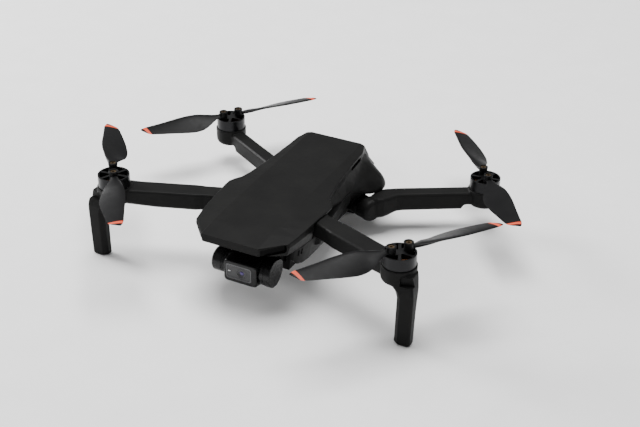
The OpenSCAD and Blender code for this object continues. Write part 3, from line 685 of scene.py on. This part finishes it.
def make_front_arm(name, side):
    """A front arm, its motor mount and its leg as one moulding."""
    ox, oy = abs(FRONT_HINGE[0]), FRONT_HINGE[1]
    arm = loft("arm", [box_ring((ox, oy), FRONT_SLOPE, *s, side) for s in FRONT_SECTIONS])
    boss = lathe("boss", [(0, 31.6), (6.2, 31.6), (6.3, 32.1), (6.3, 41.3), (5.8, 41.8), (0, 41.8)],
                 at=(side * ox, oy, 0))
    drum = cup(FRONT_Y, 33.0, FRONT_BLADE, side)
    # The leg hangs from the outer front of the mount and widens into it
    rings = []
    for z, x0, x1, y0, y1 in LEG:
        ring = [(x0 + LEG_FACE_CUT, y0), (x1 - LEG_CUT, y0), (x1, y0 + LEG_CUT),
                (x1, y1 - LEG_CUT), (x1 - LEG_CUT, y1), (x0 + LEG_CUT, y1),
                (x0, y1 - LEG_CUT), (x0, y0 + LEG_FACE_CUT * 0.8)]
        rings.append([(side * (ROTOR_X + x), FRONT_Y + y, z) for x, y in ring])
    arm = joined(name, [arm, boss, drum, loft("leg", rings)])
    moulded(arm, 0.31, 3)
    relief = prism("relief", [(side * (ROTOR_X + x), FRONT_Y + y) for x, y in RELIEF], *RELIEF_Z)
    combine(arm, [seat_tool(FRONT_Y, FRONT_BLADE, side),
                  rod(PIN_BORE, 30, 44, (side * ox, oy, 0)), relief], "DIFFERENCE")
    return smooth(arm, EDGE_ANGLE)


def make_rear_arm(name, side):
    """A rear arm with its hinge knuckle, curved root and motor mount."""
    direction = REAR_SLOPE + math.pi
    arm = loft("arm", [box_ring((ROTOR_X, REAR_Y), direction, *s, side) for s in REAR_SECTIONS])
    drum = cup(REAR_Y, 13.8, REAR_BLADE, side)
    axis = (side * FOLD_AXIS[0], FOLD_AXIS[1], 0)
    pivot = (side * abs(REAR_HINGE[0]), REAR_HINGE[1], REAR_HINGE[2])
    knuckle = lathe("knuckle", [(0, -0.8), (6.2, -0.8), (6.7, -0.3), (6.7, 5.2), (6.2, 6.8),
                                (4.8, 7.9), (0, 8.0)], at=pivot, along=axis)
    arm = joined(name, [arm, drum, knuckle])
    moulded(arm, 0.33, 5)
    combine(arm, [seat_tool(REAR_Y, REAR_BLADE, side),
                  rod(PIN_BORE, -3, 4.8, pivot, axis, 48)], "DIFFERENCE")
    return smooth(arm, EDGE_ANGLE)


# ---------------------------------------------------------------- blades

TIP_R, POST_R = 59.6, 5.0           # from the rotor's axis to a blade's tip and to its pin
SWEEP_R, TIP_SWEEP = 50, 2.6        # where the tip starts to sweep back, and by how much
ROUND_R, ROUND_POWER = 54, 2.6      # where the tip starts to round off, and how bluntly
LEAD_LEFT, TRAIL_LEFT = 0.35, 0.25  # the shares of the two edges left at the very tip
# Against the radius: the leading and trailing edges, the pitch in degrees and the thickness
LEAD = ([6, 8, 11, 15, 20, 26, 34, 44, 52, 60], [1.7, 2.0, 2.8, 3.9, 5.0, 5.7, 5.6, 4.6, 3.9, 3.2])
TRAIL = ([6, 8, 11, 15, 20, 26, 34, 44, 52, 60], [1.7, 1.8, 2.9, 5.4, 7.9, 9.2, 8.7, 7.0, 5.5, 4.0])
PITCH = ([6, 9, 14, 20, 26, 34, 44, 60], [0, 3, 13, 22.5, 21.5, 17.5, 13.5, 9.5])
THICK = ([6, 14, 30, 60], [2.0, 1.7, 1.2, 0.75])
STATIONS = [6, 7, 8, 9.2, 10.4, 11.6, 13, 14.5, 16, 17.5, 19, 21, 23, 25.5, 28, 31, 34, 37, 40,
            43, 46, 48.5, 51, 53, 54.6, 55.6, 56.6, 57.4, 58.0, 58.5, 58.9, 59.2]
BAND = (55.6, 57.9)                 # the radii between which the tip is painted
# The section, as shares of the chord and of half the thickness
PROFILE = [(0.0, 0.0), (0.04, 0.55), (0.12, 0.9), (0.25, 1.05), (0.42, 1.0), (0.6, 0.82),
           (0.78, 0.52), (0.92, 0.24), (1.0, 0.0), (0.92, -0.1), (0.78, -0.2), (0.6, -0.38),
           (0.42, -0.6), (0.25, -0.75), (0.12, -0.72), (0.04, -0.45)]
# The hinge eye about its pin, as radius and height
EYE = [(1.05, -1.15), (2.45, -1.15), (2.45, 1.5), (2.62, 1.9), (2.62, 3.1), (1.75, 3.1),
       (1.75, 1.75), (1.05, 1.75), (1.05, -1.15)]
EYE_RADII = [0.25, 0.3, 0.2, 0.25, 0.2, 0.05, 0.05]


def blade_ring(r):
    """A blade's section at radius r, swept back and rounded off near the tip."""
    lead, trail = flow(r, *LEAD), flow(r, *TRAIL)
    pitch, half = math.radians(flow(r, *PITCH)), flow(r, *THICK) / 2
    tip = max(0.0, (r - SWEEP_R) / (TIP_R - SWEEP_R))
    if r > ROUND_R:
        along = (r - ROUND_R) / (TIP_R - ROUND_R + 0.05)
        shrink = math.sqrt(max(0.0, 1 - along ** ROUND_POWER))
        lead *= LEAD_LEFT + (1 - LEAD_LEFT) * shrink
        trail *= TRAIL_LEFT + (1 - TRAIL_LEFT) * shrink
    ring = []
    for chord, height in PROFILE:
        y = lead - (lead + trail) * chord
        z = height * half
        back = TIP_SWEEP * tip * (chord - 0.15)
        ring.append((r - back, y * math.cos(pitch) - z * math.sin(pitch),
                     y * math.sin(pitch) + z * math.cos(pitch)))
    return ring


def make_blade(name):
    """A blade along +X for a rotor that turns towards +Y, with its hinge eye and tip band."""
    rings = [blade_ring(r) for r in STATIONS]
    blade = loft(name, rings)
    blade.data.materials.append(BLADE)
    blade.data.materials.append(BAND_PAINT)
    n = len(PROFILE)
    for face in blade.data.polygons:
        ring = min(v // n for v in face.vertices)
        if len(face.vertices) == 4 and BAND[0] <= STATIONS[ring] < BAND[1]:
            face.material_index = 1
    smooth(blade, 50)
    eye = lathe("eye", [tuple(p) for p in rounded(EYE, EYE_RADII, 4)[:-1]],
                at=(POST_R, 0, 0), steps=64)
    eye.data.materials.append(BLADE)
    smooth(eye, 40)
    return joined(name, [blade, eye], [BLADE, BAND_PAINT])


SCREW_HEAD = 3.2                    # the width of a blade screw's head


def prop_direction():
    """The front left propeller's angle, from the places of its two blades and their screws."""
    a, b = centre("blade_a_fl"), centre("blade_b_fl")
    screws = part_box("prop_screws_fl")
    span = (np.array(screws[1]) - np.array(screws[0]))[:2] / MM - SCREW_HEAD
    angle = math.atan2(span[1], span[0])
    return angle if (a - b)[0] * (a - b)[1] > 0 else -angle


PROP_ANGLE = prop_direction()


def hand(rotor):
    """The turns that carry a blade from the origin to this rotor's two places.

    Two of the rotors turn the other way, and theirs are mirrored too.
    """
    x = 1 if rotor[1] == "l" else -1
    y, z = (FRONT_Y, FRONT_BLADE) if rotor[0] == "f" else (REAR_Y, REAR_BLADE)
    clockwise = (rotor[0] == "f") == (rotor[1] == "l")
    angle = PROP_ANGLE if clockwise else math.pi - PROP_ANGLE
    flip = Matrix.Scale(-1, 4, (0, 1, 0)) if clockwise else Matrix.Identity(4)
    place = Matrix.Translation(Vector((x * ROTOR_X, y, z)) * MM)
    return [place @ Matrix.Rotation(a, 4, "Z") @ flip for a in (angle, angle + math.pi)]


# ---------------------------------------------------------------- gimbal

TILT = Vector((0, -66, 17))         # on the camera's tilt axis
X_AXIS, Y_AXIS = (1, 0, 0), (0, 1, 0)
CAMERA_X, CAMERA_FRONT = (-9.5, 10.4), -75.0
BLOCK_R = 7.95                      # the block's round back
HUB_X, HUB_R = -18.8, 6.7           # the outer end of the hub on the camera's right
WINDOW, WINDOW_H = (-8.3, 7.3), 4.45    # the grey rim from side to side, and half its height
RIM, PLAY = 0.75, 0.05              # the rim's width and the play round it
CHEEK_X, CHEEK_R = 17.4, 7.9
LENS_X = 1.3


def window_outline(inset, radius):
    """The camera window's outline, set in from the rim's outer edge."""
    return rounded_box(WINDOW[0] + inset, WINDOW[1] - inset, TILT.z - WINDOW_H + inset,
                       TILT.z + WINDOW_H - inset, radius)


def make_camera():
    """The camera's block: a rounded front, a round back and the hub of its right side."""
    x0, x1 = CAMERA_X
    # From the front back: y, how far the sides are set in, and half the height
    rows = [(CAMERA_FRONT, 0.5, 5.9), (CAMERA_FRONT + 0.25, 0.12, 6.3),
            (CAMERA_FRONT + 0.9, 0, 6.6), (-71, 0, 7.2), (-68, 0, 7.9), (TILT.y, 0, BLOCK_R)]
    rings = []
    for y, inset, h in rows:
        outline = rounded_box(x0 + inset, x1 - inset, TILT.z - h, TILT.z + h, 2.3)
        rings.append([(x, y, z) for x, z in outline])
    back = lathe("back", [(0, x0), (7.5, x0), (BLOCK_R, x0 + 0.5), (BLOCK_R, x1 - 0.5), (7.5, x1),
                          (0, x1)], at=TILT, along=X_AXIS)
    hub = lathe("hub", [(0, HUB_X), (6.0, HUB_X), (HUB_R, HUB_X + 0.6), (HUB_R, x0 - 0.9),
                        (6.2, x0 - 0.7), (6.2, x0 + 1), (0, x0 + 1)], at=TILT, along=X_AXIS)
    camera = joined("camera_block", [loft("block", rings), back, hub])
    moulded(camera, 0.26, 2)
    tools = [prism("window", window_outline(-PLAY, 1.9), CAMERA_FRONT - 1, CAMERA_FRONT + 1.0, "y")]
    for x in (x0 - 2.6, x0 - 3.6):
        tools.append(lathe("groove", [(6.4, x), (7.4, x), (7.4, x + 0.35), (6.4, x + 0.35)],
                           at=TILT, along=X_AXIS))
    tools.append(rod(1.1, x1 - 3.4, x1 + 1, TILT, X_AXIS, 32))
    combine(camera, tools, "DIFFERENCE")
    return smooth(camera, 40)


def make_window_frame():
    """The grey rim around the camera's window."""
    rim = prism("window_rim", window_outline(0, 1.85), CAMERA_FRONT + 0.1, CAMERA_FRONT + 0.9, "y")
    inner = prism("inner", window_outline(RIM, 1.3), CAMERA_FRONT - 1, CAMERA_FRONT + 2, "y")
    return bevelled(combine(rim, [inner], "DIFFERENCE"), 0.14, 2)


def make_window_plate():
    """The plate behind the window, with a stepped hole for the lens."""
    plate = prism("window_plate", window_outline(RIM - PLAY, 1.3),
                  CAMERA_FRONT + 0.34, CAMERA_FRONT + 0.98, "y")
    hole = rod(3.0, -1, 2, (LENS_X, CAMERA_FRONT, TILT.z), Y_AXIS)
    return bevelled(combine(plate, [hole], "DIFFERENCE"), 0.08, 2)


def lens_part(name, profile):
    """A turned part of the lens, with its heights measured back from the camera's front."""
    return smooth(lathe(name, profile, (LENS_X, CAMERA_FRONT, TILT.z), Y_AXIS, 72), 35)


def make_lens_rings():
    """Three stepped rings about the lens."""
    return lens_part("lens_rings", [
        (2.98, 0.3), (2.98, 0.95), (1.3, 0.95), (1.3, 0.72), (1.75, 0.72), (1.75, 0.6),
        (2.25, 0.6), (2.25, 0.45), (2.6, 0.45), (2.6, 0.24), (2.9, 0.24)])


def make_lens_glass():
    """The domed front element."""
    dome = [(1.32 * math.sin(a), 0.9 - 0.62 * math.cos(a)) for a in np.linspace(0, math.pi / 2, 10)]
    return lens_part("lens_dome", dome + [(0, 0.93)])


def make_roll_arm():
    """The roll arm: its motor behind the camera, the tilt motor's barrel and the flat cheek."""
    # The cheek is round at the front, with a foot that slopes back under it
    outline = [(TILT.y + CHEEK_R * math.cos(a), TILT.z + CHEEK_R * math.sin(a))
               for a in np.linspace(math.radians(58), math.radians(250), 30)]
    foot = ((1.6, -7.6), (7.6, -2.4), (8.2, 3.0), (6.4, 5.6))
    outline += [(TILT.y + y, TILT.z + z) for y, z in foot]
    cheek = prism("cheek", outline, CHEEK_X - 3.8, CHEEK_X - 0.1, "x")
    arm = joined("roll_arm", [cad_copy("gimbal_roll_arm", "roll"), cheek])
    moulded(arm, 0.26, 3)
    # A fine groove where the cheek meets the tilt motor's barrel
    inner, outer = CHEEK_X - 4.3, CHEEK_X - 3.9
    gap = lathe("gap", [(7.2, inner), (9, inner), (9, outer), (7.2, outer)], at=TILT, along=X_AXIS)
    combine(arm, [gap], "DIFFERENCE")
    return smooth(arm, 40)


def make_mark():
    """The small white mark on the window's plate."""
    outline = rounded_box(-6.9, -5.5, TILT.z - 0.35, TILT.z + 0.35, 0.3)
    return bevelled(prism("window_mark", outline, CAMERA_FRONT + 0.26, CAMERA_FRONT + 0.5, "y"),
                    0.05, 2)


# ---------------------------------------------------------------- build

finish_piece(make_cover(), "airframe", SHELL, "shell", "top_shell")
finish_piece(make_lower(), "airframe", SHELL, "shell", "lower_shell")
inserts = joined("nose_scoops", [scoop(side, 0.3, 5, -1.7) for _, side in SIDES])
finish_piece(bevelled(inserts, 0.35, 4), "airframe", INSERT_BLACK, "trim", "nose_inserts")

for word, side in SIDES:
    node = "front_arm_" + word
    front = make_front_arm("front_arm_and_leg_" + word, side)
    finish_piece(front, node, SHELL, "shell", node, "front_leg_" + word)
    node = "rear_arm_" + word
    finish_piece(make_rear_arm("rear_arm_piece_" + word, side), node, SHELL, "shell", node)

for rotor in ROTORS:
    for letter, matrix in zip("ab", hand(rotor)):
        blade = make_blade("blade_piece_%s_%s" % (letter, rotor))
        blade.data.transform(matrix)
        if matrix.determinant() < 0:
            blade.data.flip_normals()
        node = "blade_%s_%s" % (letter, rotor)
        finish_piece(blade, node, BLADE, "blade", node)

finish_piece(make_camera(), "camera", TRIM, "trim", "camera_housing")
finish_piece(make_window_frame(), "camera", FRAME_GREY, "trim")
finish_piece(make_window_plate(), "camera", WINDOW_GREY, "lens", "camera_lens")
finish_piece(make_lens_rings(), "camera", RING_GREY, "trim")
finish_piece(make_lens_glass(), "camera", GLASS, "lens")
finish_piece(make_mark(), "camera", MARK_WHITE, "trim")
finish_piece(make_roll_arm(), "gimbal_roll", TRIM, "trim", "gimbal_roll_arm")

# The CAD nodes that stay in view, with their material and bevel width
for node, material, width in (
        ("battery_door", SHELL, 0.35), ("battery", CASE, 0.5), ("main_board", BOARD, 0.1),
        ("heat_sink", ALLOY, 0.1), ("vision_sensor", GLOSS, 0.15), ("power_button", TRIM, 0.2),
        ("usb_port", STEEL, 0.1), ("arm_hinge_pins", STEEL, 0.2), ("shell_screws", STEEL, 0.15),
        ("gimbal_mount", TRIM, 0.2), ("gimbal_yaw_arm", TRIM, 0.35), ("rear_feet", RUBBER, 0.8)):
    dress(node, material, width)
for rotor in ROTORS:
    for node, material, width in (
            ("motor_stator", CORE, 0), ("motor_windings", COPPER, 0.2),
            ("motor_bearings", STEEL, 0.1), ("rotor_bell", BELL, 0.18),
            ("rotor_magnets", MAGNET, 0), ("motor_shaft", STEEL, 0.1),
            ("prop_screws", SCREW, 0.12)):
        dress(node + "_" + rotor, material, width)


# ---------------------------------------------------------------- stage

AIM = Vector((0, 0, 0.03))          # what the lights point at, in metres
FLOOR = 9000                        # half the floor's width
SKY = 0.36


def area_light(name, at, size, power):
    """A soft light of this size in metres and power in watts, turned towards the drone."""
    data = bpy.data.lights.new(name, "AREA")
    data.shape, data.size, data.size_y = "RECTANGLE", size[0], size[1]
    data.energy = power
    light = link(name, data)
    light.location = at
    light.rotation_euler = (AIM - Vector(at)).to_track_quat("-Z", "Y").to_euler()


def make_floor():
    """A flat pale floor, far wider than the view."""
    corners = [(x * FLOOR, y * FLOOR, 0) for x, y in ((-1, -1), (1, -1), (1, 1), (-1, 1))]
    floor = mesh_object("floor", corners, [(0, 1, 2, 3)])
    material, tree, shader = node_material("floor_paper")
    speckle = noise(tree, 40, 3)
    tone = ramp(tree, speckle.outputs["Fac"], [(0.3, grey(0.9)), (0.7, grey(0.93))])
    tree.links.new(tone.outputs["Color"], shader.inputs["Base Color"])
    shader.inputs["Roughness"].default_value = 0.9
    floor.data.materials.append(material)


make_floor()
area_light("over", (-0.2, 0.25, 1.6), (1.1, 0.9), 40)
area_light("left_window", (-1.6, 0.1, 0.62), (0.6, 0.8), 38)
area_light("right_window", (1.5, 0.8, 0.6), (0.4, 0.8), 4)
area_light("front", (0.4, -1.7, 0.9), (0.8, 0.4), 2)

world = bpy.data.worlds.new("studio")
bpy.context.scene.world = world
world.use_nodes = True
background = world.node_tree.nodes["Background"]
background.inputs["Color"].default_value = (1, 1, 1, 1)
background.inputs["Strength"].default_value = SKY


def make_camera_view(position, azimuth, elevation, roll, lens):
    """A camera at a position in metres, turned by angles in degrees, with a lens in mm."""
    a, e, r = (math.radians(v) for v in (azimuth, elevation, roll))
    right = Vector((math.cos(a), math.sin(a), 0))
    back = Vector((math.sin(a) * math.cos(e), -math.cos(a) * math.cos(e), math.sin(e)))
    up = back.cross(right)
    tilted_right = right * math.cos(r) - up * math.sin(r)
    tilted_up = right * math.sin(r) + up * math.cos(r)
    data = bpy.data.cameras.new("view")
    data.lens, data.sensor_width, data.clip_start = lens, 36, 0.01
    camera = link("view", data)
    camera.matrix_world = Matrix((
        (tilted_right.x, tilted_up.x, back.x, position[0]),
        (tilted_right.y, tilted_up.y, back.y, position[1]),
        (tilted_right.z, tilted_up.z, back.z, position[2]), (0, 0, 0, 1)))
    bpy.context.scene.camera = camera


make_camera_view(position=(0.2816, -0.5430, 0.3716), azimuth=26.58, elevation=30.21,
                 roll=-0.77, lens=68.96)
